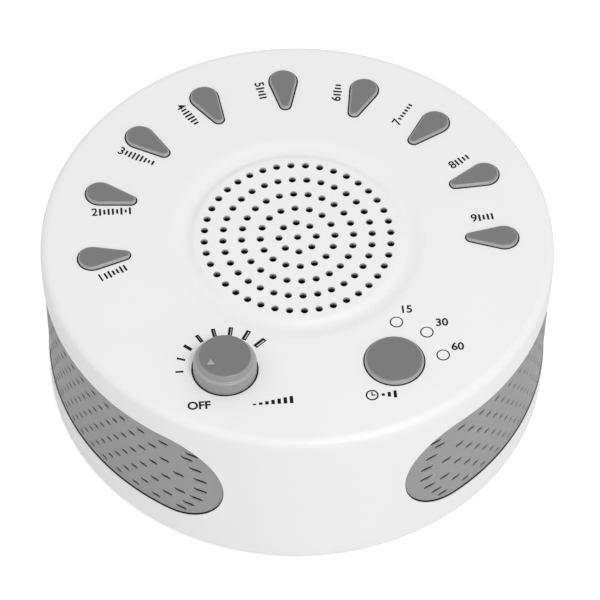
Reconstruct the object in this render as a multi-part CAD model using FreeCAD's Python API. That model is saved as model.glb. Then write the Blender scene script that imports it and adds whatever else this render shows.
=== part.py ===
import FreeCAD, Part
import math
import os

# White noise sound machine: a round table-top speaker with nine sound keys, a volume knob and
# a sleep-timer button. Lengths are in millimetres and angles in degrees. X points right,
# Y points to the back and Z points up. Zero is on the table, under the middle of the drum.

V = FreeCAD.Vector
ORIGIN = V(0, 0, 0)
UP = V(0, 0, 1)

# Overlaps inside one solid, and how far a cutter runs past what it cuts
join_overlap = 0.2
cut_past = 1.0

# How far a smooth corner's handles reach towards the sharp corner, which is near a circle
corner_fullness = 0.55

# Drum
body_diameter = 150.0
base_diameter = 148.0
body_height = 56.5
wall = 2.8
top_plate = 2.4
shoulder_width = 2.8
shoulder_height = 4.0
shoulder_corner_inset = 0.36
shoulder_corner_drop = 0.61
shoulder_round = 2.3
base_edge_radius = 0.8
inner_corner_radius = 1.5

# Grille and the moat round it
grille_hole_diameter = 2.2
grille_ring_pitch = 5.45
grille_rings = 5
holes_per_ring_step = 8
grille_rim = 2.2
moat_inner_width = 3.4
moat_outer_width = 5.2
moat_depth = 1.1

# Sound keys
key_count = 9
key_step_angle = 23.5
key_inset = 14.8
key_fat_radius = 4.1
key_narrow_radius = 1.55
key_length = 9.5
key_proud = 1.05
key_gap = 0.4
key_edge_radius = 0.9
key_flange_width = 1.0
key_flange_thickness = 1.4
key_rest_gap = 0.15
key_travel = 0.8
key_stem_radius = 1.6
key_stem_inset = 2.2

# Timer button and its lamps
timer_x = 24.2
timer_inset = 21.9
timer_radius = 8.5
timer_gap = 0.4
timer_proud = 1.3
timer_edge_radius = 1.1
timer_travel = 1.0
lamp_radius = 1.6
lamp_gap = 0.1
lamp_proud = 0.15
lamp_orbit = 14.15
lamp_angles = {"15": 82.6, "30": 43.9, "60": 5.2}
lamp_flange_width = 0.7
lamp_flange_thickness = 0.8
led_radius = 1.5
led_gap = 0.2

# Volume knob and potentiometer
knob_x = -24.1
knob_inset = 22.2
knob_radius = 9.2
knob_gap = 0.4
knob_height = 6.5
knob_sink = 1.2
knob_top_radius = 7.0
knob_step_height = 4.35
knob_skin = 1.8
knob_neck_width = 1.0
knob_top_round = 0.7
knob_foot_round = 0.6
knob_skirt_round = 0.75
knob_draft = 0.15
knob_hub_lift = 0.5
knob_hub_radius = 5.0
pointer_angle = 210.0
pointer_distance = 4.8
pointer_size = 2.4
pointer_height = 0.35
pointer_edge_radius = 0.2
shaft_radius = 3.0
shaft_clearance = 0.05
pot_radius = 8.0
pot_height = 6.0
bushing_radius = 4.2
bushing_height = 2.4
pot_floor = 1.5

# Tact switches under the keys and the timer button
switch_width = 6.0
switch_height = 3.5
switch_floor = 0.9
plunger_radius = 1.75
plunger_clearance = 0.05
plunger_stroke_room = 0.2

# Grip inlays on the two side walls
grip_height = 35.9
grip_below_top = 28.5
grip_end_angle = 20.6
grip_pocket_depth = 1.5
grip_recess = 0.4
grip_clearance = 0.25
grip_edge_radius = 0.45
slit_length = 2.3
slit_height = 1.25
slit_depth = 0.7
slit_pitch = 4.85
slit_row_pitch = 4.03
slit_row_margin = 3.8
slit_row_shift = -0.6
slit_end_margin = 7.6
slit_end_count = 6
slit_end_radius = 17.0
slit_end_shift = -0.3
slit_spacing_least = 2.6

# Boards
board_thickness = 1.6
board_drop = 8.0
board_inner_radius = 39.0
board_edge_gap = 4.2
board_boss_radius = 2.5
board_boss_orbit = 47.0
board_screw_radius = 1.0
board_screw_head_radius = 2.2
board_screw_head = 1.4
board_screw_length = 4.5
board_screw_end_gap = 0.5
main_board_width = 50.0
main_board_length = 27.0
main_board_gap = 3.4
main_board_lift = 8.1
main_post_radius = 2.5
main_post_inset = 3.6

# Loudspeaker
speaker_drop = 2.5
speaker_flange_radius = 34.0
speaker_flange_inner = 29.5
speaker_flange_thickness = 1.1
speaker_ear_orbit = 36.4
speaker_ear_radius = 3.0
speaker_screws_count = 4
speaker_screw_radius = 1.0
speaker_screw_head_radius = 2.3
speaker_screw_head = 1.3
speaker_boss_radius = 2.6
speaker_boss_bore = 1.7
speaker_screw_end_gap = 0.2
speaker_screw_first_angle = 45.0
basket_depth = 14.0
basket_wall = 1.0
basket_lip = 1.0
basket_neck_radius = 19.5
basket_window_width = 20.0
basket_window_low_rim = 3.0
basket_window_high_rim = 2.0
pole_radius = 7.5
coil_gap = 0.3
coil_thickness = 0.5
plate_radius = 20.0
plate_thickness = 2.5
magnet_radius = 21.0
magnet_bore_radius = 10.5
magnet_thickness = 5.0
yoke_thickness = 2.0
cone_thickness = 0.6
cone_radius = 25.0
cone_depth = 8.4
cone_travel = 1.0
dust_cap_height = 2.2
dust_cap_thickness = 0.5
surround_height = 1.0
surround_thickness = 0.4
spider_thickness = 0.4
spider_radius = 16.0
spider_lift = 2.4
gasket_inner_radius = 31.6
gasket_gap = 0.2
cloth_thickness = 0.4
cloth_gap = 0.2
terminal_width = 8.0
terminal_depth = 4.0
terminal_height = 4.0
terminal_offset = 5.5
terminal_lift = 1.0
terminal_shelf = 2.0

# Bottom cover, feet and housing screws
cover_thickness = 2.4
cover_clearance = 0.2
post_inset = 11.0
post_radius = 3.5
post_bore_depth = 12.0
post_board_gap = 0.5
housing_screw_radius = 1.5
housing_screw_head_radius = 3.0
housing_screw_head = 1.2
housing_screw_recess = 0.2
housing_screw_length = 10.0
housing_screw_head_gap = 0.1
foot_height = 1.5
foot_radius = 5.0
foot_sink = 0.5
foot_edge_radius = 0.4
foot_inset = 15.0
foot_angles = (55.0, 125.0, 235.0, 305.0)

# Battery bay, cells and door
cell_radius = 7.25
cell_length = 50.5
cell_nub_radius = 2.75
cell_nub = 1.0
cell_count = 4
cell_spacing_gap = 0.25
cell_side_gap = 1.0
cell_height_gap = 0.4
spring_length = 6.5
spring_radius = 4.5
spring_wire = 0.8
contact_thickness = 0.5
contact_width = 11.0
contact_height = 12.0
bay_wall = 1.6
door_gap = 0.3
hinge_pin_radius = 0.8
hinge_pin_clearance = 0.05
hinge_pin_length = 1.5
hinge_pin_end_gap = 0.3
finger_notch_radius = 9.0
finger_notch_depth = 1.0

# Power inlet
jack_width = 9.0
jack_height = 11.0
jack_length = 13.0
jack_wall_gap = 0.3
jack_collar_radius = 4.5
jack_collar_recess = 0.6
jack_hole_gap = 0.2
jack_bore_radius = 2.9
jack_bore_depth = 9.5
jack_pin_radius = 1.0
jack_pin_recess = 1.0

# Parts on the main board: from its middle, from its near edge, then their own sizes
memory_chip = (13.0, 13.5, 11.0, 11.0, 1.6)
controller_chip = (3.0, 7.5, 7.0, 5.0, 1.5)
amplifier_chip = (-15.0, 17.0, 8.0, 6.0, 2.0)
large_capacitor = (9.5, 22.6, 3.2, 9.0)
small_capacitor = (-8.0, 22.6, 2.5, 7.0)

# Ribbon and wires
ribbon_x = -9.5
ribbon_inset = 10.5
ribbon_width = 12.0
ribbon_thickness = 0.8
ribbon_plug_width = 14.0
ribbon_plug_depth = 3.0
ribbon_plug_height = 4.0
wire_radius = 0.6
wire_arc_share = 0.45
wire_pair_half = 1.8
wire_drop = 9.0
wire_bow = 2.0
wire_rise = 8.0
speaker_wire_inset = 3.0
battery_wire_x = 12.0
battery_wire_inset = 4.0
battery_wire_run = 15.0
battery_wire_crest = 9.0

# Heights that follow from the sizes above
base_z = foot_height
top_z = base_z + body_height
plate_z = top_z - top_plate
shoulder_z = top_z - shoulder_height
cover_z = base_z + cover_thickness
board_top_z = plate_z - board_drop
board_z = board_top_z - board_thickness
key_flange_z = plate_z - key_rest_gap
key_stem_z = key_flange_z - key_flange_thickness
switch_top_z = board_top_z + switch_height
main_board_z = cover_z + main_board_lift
main_board_top_z = main_board_z + board_thickness
speaker_z = plate_z - speaker_drop
basket_z = speaker_z - basket_depth
yoke_z = basket_z - plate_thickness - magnet_thickness - yoke_thickness
jack_z = main_board_top_z + jack_height / 2

# Radii and places that follow
body_radius = body_diameter / 2
base_radius = base_diameter / 2
taper = (body_radius - base_radius) / (shoulder_z - base_z)
grille_radius = grille_rings * grille_ring_pitch + grille_rim
moat_bottom_radius = grille_radius + moat_inner_width
moat_radius = moat_bottom_radius + moat_outer_width
key_orbit = body_radius - key_inset
key_switch_orbit = key_orbit - key_stem_inset
knob_orbit = body_radius - knob_inset
timer_orbit = body_radius - timer_inset
knob_centre = V(knob_x, -math.sqrt(knob_orbit ** 2 - knob_x ** 2), 0)
timer_centre = V(timer_x, -math.sqrt(timer_orbit ** 2 - timer_x ** 2), 0)
cover_radius = base_radius - wall - cover_clearance
board_radius = body_radius - wall - board_edge_gap
post_orbit = body_radius - post_inset
foot_orbit = body_radius - foot_inset
coil_radius = pole_radius + coil_gap
plate_bore_radius = coil_radius + coil_thickness + coil_gap
cell_pitch = 2 * cell_radius + cell_spacing_gap
bay_width = cell_count * cell_pitch - cell_spacing_gap + 2 * cell_side_gap
bay_length = cell_length + spring_length + 2 * contact_thickness
bay_height = 2 * cell_radius + 2 * cell_height_gap
bay_top_z = cover_z + bay_height
hinge_radius = cover_thickness / 2
hinge_y = -bay_length / 2 + door_gap + hinge_radius
hinge_z = base_z + hinge_radius
main_board_y = bay_length / 2 + bay_wall + main_board_gap
key_angles = [90.0 - key_step_angle * (index - (key_count - 1) / 2) for index in range(key_count)]
post_angles = (
    90.0 - 2.5 * key_step_angle,
    90.0 + 2.5 * key_step_angle,
    210.0,
    330.0,
)
board_boss_angles = (
    90.0 - 2.5 * key_step_angle,
    90.0 - 0.5 * key_step_angle,
    90.0 + 2.5 * key_step_angle,
    210.0,
    270.0,
    330.0,
)


def polar(radius, angle, z=0.0):
    """Give the point at a radius and an angle round the drum's axis."""
    turn = math.radians(angle)
    return V(radius * math.cos(turn), radius * math.sin(turn), z)


def wall_radius(z, inset=0.0):
    """Give the radius of the slightly tapered outer wall at a height, less an inset."""
    return base_radius + taper * (z - base_z) - inset


def line(start, end):
    """Make a straight edge."""
    return Part.LineSegment(start, end).toShape()


def arc(start, middle, end):
    """Make a round edge through three points."""
    return Part.Arc(start, middle, end).toShape()


def bezier(*poles):
    """Make a smooth edge from its control points."""
    curve = Part.BezierCurve()
    curve.setPoles(list(poles))
    return curve.toShape()


def corner_arc(start, pole, end):
    """Make a smooth edge from start to end that is drawn towards a corner."""
    leave = start + (pole - start) * corner_fullness
    arrive = end + (pole - end) * corner_fullness
    return bezier(start, leave, arrive, end)


def corner(centre, radius, start_angle, end_angle):
    """Make a round edge in the XZ plane about a centre."""
    points = []
    for angle in (start_angle, (start_angle + end_angle) / 2, end_angle):
        turn = math.radians(angle)
        points.append(centre + V(radius * math.cos(turn), 0, radius * math.sin(turn)))
    return arc(*points)


def rounded(start, point, end, radius):
    """Make a line, a round corner and a line that lead from start to end round a point."""
    back = (start - point).normalize()
    ahead = (end - point).normalize()
    half_angle = back.getAngle(ahead) / 2
    leave = point + back * (radius / math.tan(half_angle))
    arrive = point + ahead * (radius / math.tan(half_angle))
    middle = point + (back + ahead).normalize() * (radius / math.sin(half_angle) - radius)
    return [line(start, leave), arc(leave, middle, arrive), line(arrive, end)]


def spin(edges, centre=ORIGIN):
    """Turn a closed outline, drawn in the XZ plane, round an upright axis."""
    shape = Part.Face(Part.Wire(edges)).revolve(ORIGIN, UP, 360)
    shape = Part.Solid(shape.Shells[0])
    if shape.Volume < 0:
        shape.reverse()
    shape.translate(centre)
    return shape


def spin_points(points, centre=ORIGIN):
    """Turn a closed outline of straight sides round an upright axis."""
    corners = [V(radius, 0, z) for radius, z in points]
    edges = [line(a, b) for a, b in zip(corners, corners[1:] + corners[:1])]
    return spin(edges, centre)


def tube(outer, inner, low, high, centre=ORIGIN):
    """Make an upright ring with straight walls."""
    return spin_points([(inner, low), (outer, low), (outer, high), (inner, high)], centre)


def rod(radius, low, high, centre=ORIGIN):
    """Make an upright cylinder between two heights."""
    return Part.makeCylinder(radius, high - low, V(centre.x, centre.y, low), UP)


def block(x_low, x_high, y_low, y_high, z_low, z_high):
    """Make a box from its limits."""
    corner_point = V(x_low, y_low, z_low)
    return Part.makeBox(x_high - x_low, y_high - y_low, z_high - z_low, corner_point)


def turned(shape, angle):
    """Give a copy turned about the drum's axis."""
    copy = shape.copy()
    copy.rotate(ORIGIN, UP, angle)
    return copy


def joined(shapes):
    """Fuse solids that belong to one piece."""
    return shapes[0].multiFuse(shapes[1:]).removeSplitter()


def round_top(shape, radius, z):
    """Round the edges that lie at a given height."""
    edges = []
    for edge in shape.Edges:
        box = edge.BoundBox
        if abs(box.ZMin - z) < 1e-6 and abs(box.ZMax - z) < 1e-6:
            edges.append(edge)
    return shape.makeFillet(radius, edges)


def screw(shaft_radius_mm, head_radius, head, length, centre):
    """Make a screw that points up, with the underside of its head's seat at centre.z."""
    shaft = rod(shaft_radius_mm, centre.z, centre.z + length, centre)
    cap = rod(head_radius, centre.z - head, centre.z, centre)
    cap = round_top(cap, head / 3, centre.z - head)
    return joined([cap, shaft])


# Top housing


def housing_shell():
    """Turn the drum's section, with the moat in its top, into one shell."""
    inner_base = V(wall_radius(base_z, wall), 0, base_z)
    inner_top = V(wall_radius(plate_z - inner_corner_radius, wall), 0, plate_z - inner_corner_radius)
    inner_centre = inner_top - V(inner_corner_radius, 0, 0)
    shoulder_start = V(body_radius - shoulder_width, 0, top_z)
    shoulder_end = V(body_radius, 0, shoulder_z)
    shoulder_corner = V(body_radius - shoulder_corner_inset, 0, top_z - shoulder_corner_drop)
    shoulder = rounded(shoulder_start, shoulder_corner, shoulder_end, shoulder_round)
    edge_z = base_z + base_edge_radius
    edge_centre = V(wall_radius(edge_z) - base_edge_radius, 0, edge_z)
    bottom = top_z - moat_depth
    moat_inside = bezier(
        V(grille_radius, 0, top_z),
        V(grille_radius + moat_inner_width / 2, 0, top_z),
        V(grille_radius + moat_inner_width / 2, 0, bottom),
        V(moat_bottom_radius, 0, bottom),
    )
    moat_outside = bezier(
        V(moat_bottom_radius, 0, bottom),
        V(moat_bottom_radius + moat_outer_width / 2, 0, bottom),
        V(moat_bottom_radius + moat_outer_width / 2, 0, top_z),
        V(moat_radius, 0, top_z),
    )
    edges = [
        line(V(0, 0, plate_z), V(0, 0, top_z)),
        line(V(0, 0, top_z), V(grille_radius, 0, top_z)),
        moat_inside,
        moat_outside,
        line(V(moat_radius, 0, top_z), shoulder_start),
        *shoulder,
        line(shoulder_end, edge_centre + V(base_edge_radius, 0, 0)),
        corner(edge_centre, base_edge_radius, 0, -90),
        line(edge_centre - V(0, 0, base_edge_radius), inner_base),
        line(inner_base, inner_top),
        corner(inner_centre, inner_corner_radius, 0, 90),
        line(inner_centre + V(0, 0, inner_corner_radius), V(0, 0, plate_z)),
    ]
    return spin(edges)


def grille_holes():
    """Make the cutters of the centre hole and the five rings of holes."""
    radius = grille_hole_diameter / 2
    low = plate_z - cut_past
    high = top_z + cut_past
    holes = [rod(radius, low, high)]
    for ring in range(1, grille_rings + 1):
        count = holes_per_ring_step * ring
        for index in range(count):
            place = polar(ring * grille_ring_pitch, 90 + 360 * index / count)
            holes.append(rod(radius, low, high, place))
    return holes


def teardrop(growth, low, high):
    """Make a teardrop prism with its fat end at the key ring, on the X side of the drum."""
    fat = key_fat_radius + growth
    narrow = key_narrow_radius + growth
    lean = math.acos((fat - narrow) / key_length)
    side = math.pi - lean
    direction = V(math.cos(side), math.sin(side), 0)
    mirrored = V(direction.x, -direction.y, 0)
    fat_centre = V(key_orbit, 0, low)
    narrow_centre = V(key_orbit - key_length, 0, low)
    edges = [
        arc(fat_centre + mirrored * fat, fat_centre + V(fat, 0, 0), fat_centre + direction * fat),
        line(fat_centre + direction * fat, narrow_centre + direction * narrow),
        arc(
            narrow_centre + direction * narrow,
            narrow_centre - V(narrow, 0, 0),
            narrow_centre + mirrored * narrow,
        ),
        line(narrow_centre + mirrored * narrow, fat_centre + mirrored * fat),
    ]
    return Part.Face(Part.Wire(edges)).extrude(V(0, 0, high - low))


def lamp_places():
    """Give the places of the three timer lamps by name."""
    places = {}
    for name, angle in lamp_angles.items():
        places[name] = timer_centre + polar(lamp_orbit, angle)
    return places


def grip_outline(side_angle, margin):
    """Make the solid that cuts a grip's rounded outline out of the wall."""
    half_height = grip_height / 2 - margin
    end_turn = math.degrees(math.asin(grip_height / 2 / body_radius))
    half_angle = 90 - grip_end_angle - end_turn
    centre_z = top_z - grip_below_top
    reach = body_radius + cut_past
    sector = Part.makeCylinder(
        reach, 2 * half_height, V(0, 0, centre_z - half_height), UP, 2 * half_angle
    )
    pieces = [turned(sector, side_angle - half_angle)]
    for end_angle in (side_angle - half_angle, side_angle + half_angle):
        outward = polar(1, end_angle)
        start = outward * (reach / 2) + V(0, 0, centre_z)
        pieces.append(Part.makeCylinder(half_height, reach / 2, start, outward))
    return pieces[0].multiFuse(pieces[1:])


def wall_ring(inner_inset, outer_inset):
    """Make a ring that follows the tapered wall between two insets."""
    low = base_z + base_edge_radius
    high = shoulder_z
    return spin_points([
        (wall_radius(low, inner_inset), low),
        (wall_radius(low, outer_inset), low),
        (wall_radius(high, outer_inset), high),
        (wall_radius(high, inner_inset), high),
    ])


def jack_hole():
    """Make the cutter of the power inlet's hole in the back wall."""
    start = V(0, body_radius - 2 * wall, jack_z)
    return Part.makeCylinder(jack_collar_radius + jack_hole_gap, 3 * wall, start, V(0, 1, 0))


def make_top_housing():
    """Make the white drum with all its holes, posts and bosses."""
    pieces = [housing_shell()]
    cuts = grille_holes()
    low = plate_z - cut_past
    high = top_z + cut_past
    for angle in key_angles:
        cuts.append(turned(teardrop(key_gap, low, high), angle))
    cuts.append(rod(knob_radius + knob_gap, low, high, knob_centre))
    cuts.append(rod(timer_radius + timer_gap, low, high, timer_centre))
    for place in lamp_places().values():
        cuts.append(rod(lamp_radius + lamp_gap, low, high, place))
    for angle in post_angles:
        place = polar(post_orbit, angle)
        pieces.append(rod(post_radius, cover_z, plate_z + join_overlap, place))
        cuts.append(rod(housing_screw_radius, cover_z - cut_past, cover_z + post_bore_depth, place))
    for angle in board_boss_angles:
        place = polar(board_boss_orbit, angle)
        pieces.append(rod(board_boss_radius, board_top_z, plate_z + join_overlap, place))
        bore_top = board_top_z + board_screw_length
        cuts.append(rod(board_screw_radius, board_top_z - cut_past, bore_top, place))
    for index in range(speaker_screws_count):
        place = polar(speaker_ear_orbit, speaker_screw_angle(index))
        pieces.append(rod(speaker_boss_radius, speaker_z, plate_z + join_overlap, place))
        bore_top = speaker_z + speaker_boss_bore
        cuts.append(rod(speaker_screw_radius, speaker_z - cut_past, bore_top, place))
    cuts.append(jack_hole())
    pocket = wall_ring(grip_pocket_depth, -cut_past)
    for side_angle in (0, 180):
        cuts.append(pocket.common(grip_outline(side_angle, 0)))
    return joined(pieces).cut(Part.makeCompound(cuts))


# Grips


def slit_places():
    """List the slits' places on one side: distance from the middle and height."""
    centre_z = top_z - grip_below_top
    row_count = int((grip_height - 2 * slit_row_margin) / slit_row_pitch) + 1
    reach_angle = math.degrees((slit_end_margin + slit_end_radius) / body_radius)
    arc_angle = 90 - grip_end_angle - reach_angle
    places = []
    for index in range(slit_end_count):
        lean = slit_pitch / slit_end_radius * (index - (slit_end_count - 1) / 2)
        height = centre_z + slit_end_shift + slit_end_radius * math.sin(lean)
        turn = arc_angle + math.degrees(slit_end_radius / body_radius) * math.cos(lean)
        radius = wall_radius(height, grip_recess)
        places.append((radius * math.sin(math.radians(turn)), height))
    ends = list(places)
    reach = max(y for y, z in ends)
    for row in range(row_count):
        height = centre_z + slit_row_shift + slit_row_pitch * ((row_count - 1) / 2 - row)
        start = slit_pitch / 2 if row % 2 == 0 else 0.0
        for column in range(int(reach / slit_pitch) + 1):
            y = start + column * slit_pitch
            nearest = min(math.hypot(y - a, height - b) for a, b in ends)
            if y < reach and nearest > slit_spacing_least:
                places.append((y, height))
    return places


def slit_prism(y, z):
    """Make one slit's cutter, round at both ends and running along X."""
    half = (slit_length - slit_height) / 2
    radius = slit_height / 2
    edges = [
        line(V(0, y - half, z - radius), V(0, y + half, z - radius)),
        arc(V(0, y + half, z - radius), V(0, y + half + radius, z), V(0, y + half, z + radius)),
        line(V(0, y + half, z + radius), V(0, y - half, z + radius)),
        arc(V(0, y - half, z + radius), V(0, y - half - radius, z), V(0, y - half, z - radius)),
    ]
    return Part.Face(Part.Wire(edges)).extrude(V(body_radius + cut_past, 0, 0))


def grip_rim(inlay):
    """List the edges of a grip's outline that lie on its outer skin."""
    rim = []
    for edge in inlay.Edges:
        points = edge.discretize(5)
        depths = [wall_radius(point.z, grip_recess) - math.hypot(point.x, point.y) for point in points]
        across = max(abs(point.y) for point in points)
        if max(abs(depth) for depth in depths) < 0.001 and across > 0.001:
            rim.append(edge)
    return rim


def make_grip_right():
    """Make the soft grip inlay of the right-hand wall, with its round rim and its slits."""
    inlay = wall_ring(grip_pocket_depth, grip_recess).common(grip_outline(0, grip_clearance))
    inlay = inlay.makeFillet(grip_edge_radius, grip_rim(inlay))
    prisms = []
    for y, z in slit_places():
        prisms.append(slit_prism(y, z))
        if y > 0:
            prisms.append(slit_prism(-y, z))
    skin = wall_ring(grip_recess + slit_depth, -cut_past)
    return inlay.cut(skin.common(Part.makeCompound(prisms)))


# Keys, button and switches


def make_sound_key(angle):
    """Make one teardrop key with its flange and its stem."""
    cap = teardrop(0, key_flange_z - join_overlap, top_z + key_proud)
    cap = round_top(cap, key_edge_radius, top_z + key_proud)
    flange = teardrop(key_flange_width, key_stem_z, key_flange_z)
    stem = rod(key_stem_radius, plunger_top_z(), key_stem_z + join_overlap, V(key_switch_orbit, 0, 0))
    return turned(joined([cap, flange, stem]), angle)


def plunger_top_z():
    """Give the height at which a key's stem rests on its switch plunger."""
    return switch_top_z + key_travel + timer_travel - plunger_stroke_room


def make_plunger(centre, travel):
    """Make the round plunger of one switch."""
    low = board_top_z + switch_floor + travel
    return rod(plunger_radius, low, plunger_top_z(), centre)


def make_switch(centre, angle):
    """Make one switch body with the bore that its plunger slides in."""
    half = switch_width / 2
    body = block(-half, half, -half, half, board_top_z, switch_top_z)
    bore = rod(plunger_radius + plunger_clearance, board_top_z + switch_floor - plunger_clearance,
               switch_top_z + cut_past)
    shape = turned(body.cut(bore), angle)
    shape.translate(V(centre.x, centre.y, 0))
    return shape


def make_key_switches():
    """Make the nine switch bodies under the keys."""
    switches = [make_switch(polar(key_switch_orbit, angle), angle) for angle in key_angles]
    return Part.makeCompound(switches)


def make_timer_button():
    """Make the round timer button with its flange and stem."""
    cap = rod(timer_radius, key_flange_z - join_overlap, top_z + timer_proud, timer_centre)
    cap = round_top(cap, timer_edge_radius, top_z + timer_proud)
    flange = rod(timer_radius + key_flange_width, key_stem_z, key_flange_z, timer_centre)
    stem = rod(key_stem_radius, plunger_top_z(), key_stem_z + join_overlap, timer_centre)
    return joined([cap, flange, stem])


def make_lamp(place):
    """Make one round lamp lens, which is a short light pipe with a flange."""
    top = top_z + lamp_proud
    pipe = rod(lamp_radius, led_top_z() + led_gap, top, place)
    pipe = round_top(pipe, lamp_proud, top)
    flange = rod(lamp_radius + lamp_flange_width, plate_z - lamp_flange_thickness, plate_z, place)
    return joined([pipe, flange])


def led_top_z():
    """Give the height of the top of the lamp diodes."""
    return switch_top_z + led_radius


def make_timer_leds():
    """Make the three domed lamp diodes on the control board."""
    diodes = []
    for place in lamp_places().values():
        stalk = rod(led_radius, board_top_z, switch_top_z, place)
        dome = Part.makeSphere(led_radius, V(place.x, place.y, switch_top_z))
        diodes.append(joined([stalk, dome]))
    return Part.makeCompound(diodes)


# Volume control


def knob_pointer():
    """Make the raised triangle on the knob's top."""
    centre = knob_centre + polar(pointer_distance, pointer_angle)
    orbit = pointer_size / math.sqrt(3)
    corners = [centre + polar(orbit, pointer_angle + turn) for turn in (0, 120, 240)]
    low = top_z + knob_height - pointer_height
    corners = [V(point.x, point.y, low) for point in corners]
    edges = [line(a, b) for a, b in zip(corners, corners[1:] + corners[:1])]
    prism = Part.Face(Part.Wire(edges)).extrude(V(0, 0, 2 * pointer_height))
    return round_top(prism, pointer_edge_radius, low + 2 * pointer_height)


def make_volume_knob():
    """Make the hollow knob: a skirt, a soft step, a flat top and a hub."""
    low = top_z - knob_sink
    top = top_z + knob_height
    step = top_z + knob_step_height
    ceiling = top - knob_skin
    round_radius = knob_top_radius + knob_top_round
    neck = knob_top_radius + knob_neck_width
    skirt = knob_radius - knob_draft
    shelf = knob_radius - knob_skirt_round
    inside = knob_top_radius - knob_skin / 2
    edges = [
        line(V(0, 0, ceiling), V(0, 0, top)),
        line(V(0, 0, top), V(knob_top_radius, 0, top)),
        corner_arc(V(knob_top_radius, 0, top), V(round_radius, 0, top),
                   V(round_radius, 0, top - knob_top_round)),
        line(V(round_radius, 0, top - knob_top_round), V(neck, 0, step + knob_foot_round)),
        corner_arc(V(neck, 0, step + knob_foot_round), V(neck, 0, step), V(shelf, 0, step)),
        corner_arc(V(shelf, 0, step), V(skirt, 0, step), V(skirt, 0, step - knob_skirt_round)),
        line(V(skirt, 0, step - knob_skirt_round), V(knob_radius, 0, low)),
        line(V(knob_radius, 0, low), V(knob_radius - knob_skin, 0, low)),
        line(V(knob_radius - knob_skin, 0, low), V(inside, 0, ceiling)),
        line(V(inside, 0, ceiling), V(0, 0, ceiling)),
    ]
    shell = spin(edges, knob_centre)
    hub = tube(knob_hub_radius, shaft_radius, low + knob_hub_lift, ceiling + join_overlap, knob_centre)
    bore = rod(shaft_radius, low, ceiling, knob_centre)
    return joined([shell, hub, knob_pointer()]).cut(bore)


def make_volume_pot():
    """Make the potentiometer's can and bushing, with the bore for its shaft."""
    can = rod(pot_radius, board_top_z, board_top_z + pot_height, knob_centre)
    bushing = rod(bushing_radius, board_top_z, board_top_z + pot_height + bushing_height, knob_centre)
    bore = rod(shaft_radius + shaft_clearance, board_top_z + pot_floor, top_z, knob_centre)
    return joined([can, bushing]).cut(bore)


def make_volume_pot_shaft():
    """Make the shaft that runs from the potentiometer into the knob's hub."""
    low = board_top_z + pot_floor + shaft_clearance
    return rod(shaft_radius, low, top_z + knob_height - knob_skin, knob_centre)


# Control board


def make_control_board():
    """Make the ring-shaped board, with notches for the housing posts."""
    board = tube(board_radius, board_inner_radius, board_z, board_top_z)
    cuts = []
    for angle in post_angles:
        place = polar(post_orbit, angle)
        cuts.append(rod(post_radius + post_board_gap, board_z - cut_past, board_top_z + cut_past, place))
        notch = block(0, body_radius - post_orbit, -post_radius - post_board_gap,
                      post_radius + post_board_gap, board_z - cut_past, board_top_z + cut_past)
        notch.translate(V(post_orbit, 0, 0))
        cuts.append(turned(notch, angle))
    for angle in board_boss_angles:
        place = polar(board_boss_orbit, angle)
        cuts.append(rod(board_screw_radius, board_z - cut_past, board_top_z + cut_past, place))
    return board.cut(Part.makeCompound(cuts))


def make_board_screws():
    """Make the screws of both boards."""
    screws = []
    for angle in board_boss_angles:
        place = polar(board_boss_orbit, angle, board_z)
        length = board_thickness + board_screw_length - board_screw_end_gap
        screws.append(screw(board_screw_radius, board_screw_head_radius, board_screw_head, length,
                            place))
    for x, y in main_post_places():
        one = screw(board_screw_radius, board_screw_head_radius, board_screw_head,
                    board_screw_length, ORIGIN)
        one.rotate(ORIGIN, V(1, 0, 0), 180)
        one.translate(V(x, y, main_board_top_z))
        screws.append(one)
    return Part.makeCompound(screws)


# Loudspeaker


def speaker_screw_angle(index):
    """Give the angle of one of the speaker's screws."""
    return speaker_screw_first_angle + 360 * index / speaker_screws_count


def make_speaker_basket():
    """Make the basket: a flange with ears, a windowed cone and a terminal block."""
    rim = speaker_flange_inner
    neck = basket_neck_radius
    floor = basket_z
    low_flange = speaker_z - speaker_flange_thickness
    shell = spin_points([
        (plate_bore_radius + basket_lip, floor),
        (neck, floor),
        (rim + basket_wall, low_flange),
        (speaker_flange_radius, low_flange),
        (speaker_flange_radius, speaker_z),
        (rim, speaker_z),
        (rim, low_flange),
        (neck - basket_wall, floor + basket_wall),
        (plate_bore_radius + basket_lip, floor + basket_wall),
    ])
    windows = []
    for angle in (0, 90, 180, 270):
        half = basket_window_width / 2
        opening = block(neck - basket_wall, rim + 2 * basket_wall, -half, half,
                        floor + basket_window_low_rim, low_flange - basket_window_high_rim)
        windows.append(turned(opening, angle))
    shell = shell.cut(Part.makeCompound(windows))
    ears = []
    holes = []
    for index in range(speaker_screws_count):
        place = polar(speaker_ear_orbit, speaker_screw_angle(index))
        ears.append(rod(speaker_ear_radius, low_flange, speaker_z, place))
        holes.append(rod(speaker_screw_radius, low_flange - cut_past, speaker_z + cut_past, place))
    half = terminal_width / 2
    near = neck + terminal_offset
    terminal = block(-half, half, near, near + terminal_depth, floor + terminal_lift,
                     floor + terminal_lift + terminal_height)
    shelf = block(-half, half, neck - basket_wall, near + join_overlap, floor, floor + terminal_shelf)
    return joined([shell] + ears + [shelf, terminal]).cut(Part.makeCompound(holes))


def make_speaker_top_plate():
    """Make the steel washer under the basket."""
    return tube(plate_radius, plate_bore_radius, basket_z - plate_thickness, basket_z)


def make_speaker_magnet():
    """Make the ring magnet."""
    high = basket_z - plate_thickness
    return tube(magnet_radius, magnet_bore_radius, high - magnet_thickness, high)


def make_speaker_yoke():
    """Make the yoke: a steel disc with the pole that stands in the voice coil."""
    disc = rod(plate_radius, yoke_z, yoke_z + yoke_thickness)
    pole = rod(pole_radius, yoke_z, basket_z)
    return joined([disc, pole])


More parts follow.
